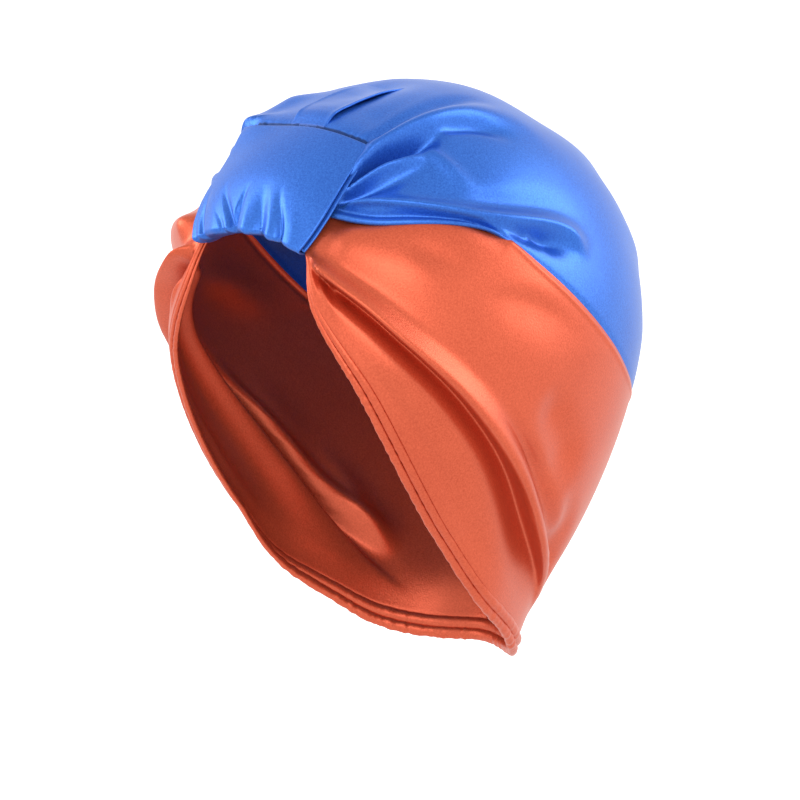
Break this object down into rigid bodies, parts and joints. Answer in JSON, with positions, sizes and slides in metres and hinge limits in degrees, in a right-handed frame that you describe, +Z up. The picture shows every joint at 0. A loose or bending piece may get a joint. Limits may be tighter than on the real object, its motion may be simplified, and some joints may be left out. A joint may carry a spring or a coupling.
{
  "type": "sleep cap",
  "caption": "Satin sleep cap, shaped as worn: gathered crown over side panels, wide front tab, rolled hem and elastic casing from brow to nape.",
  "frame": {"origin": "where the top of the head touches the inside of the crown, on the middle plane", "axes": "+Z up as worn, the face towards -Y, the wearer's left towards +X"},
  "size_m": [0.168, 0.1862, 0.2268],
  "materials": {
    "blue_satin": "smooth satin weave with soft broad highlights",
    "orange_satin": "smooth satin weave with soft broad highlights"
  },
  "bodies": {
    "root": {"crown": "blue_satin", "front_tab": "blue_satin", "side_panel_left": "orange_satin", "side_panel_right": "orange_satin", "hem_roll": "orange_satin", "elastic_casing": "orange_satin"}
  },
  "joints": []
}
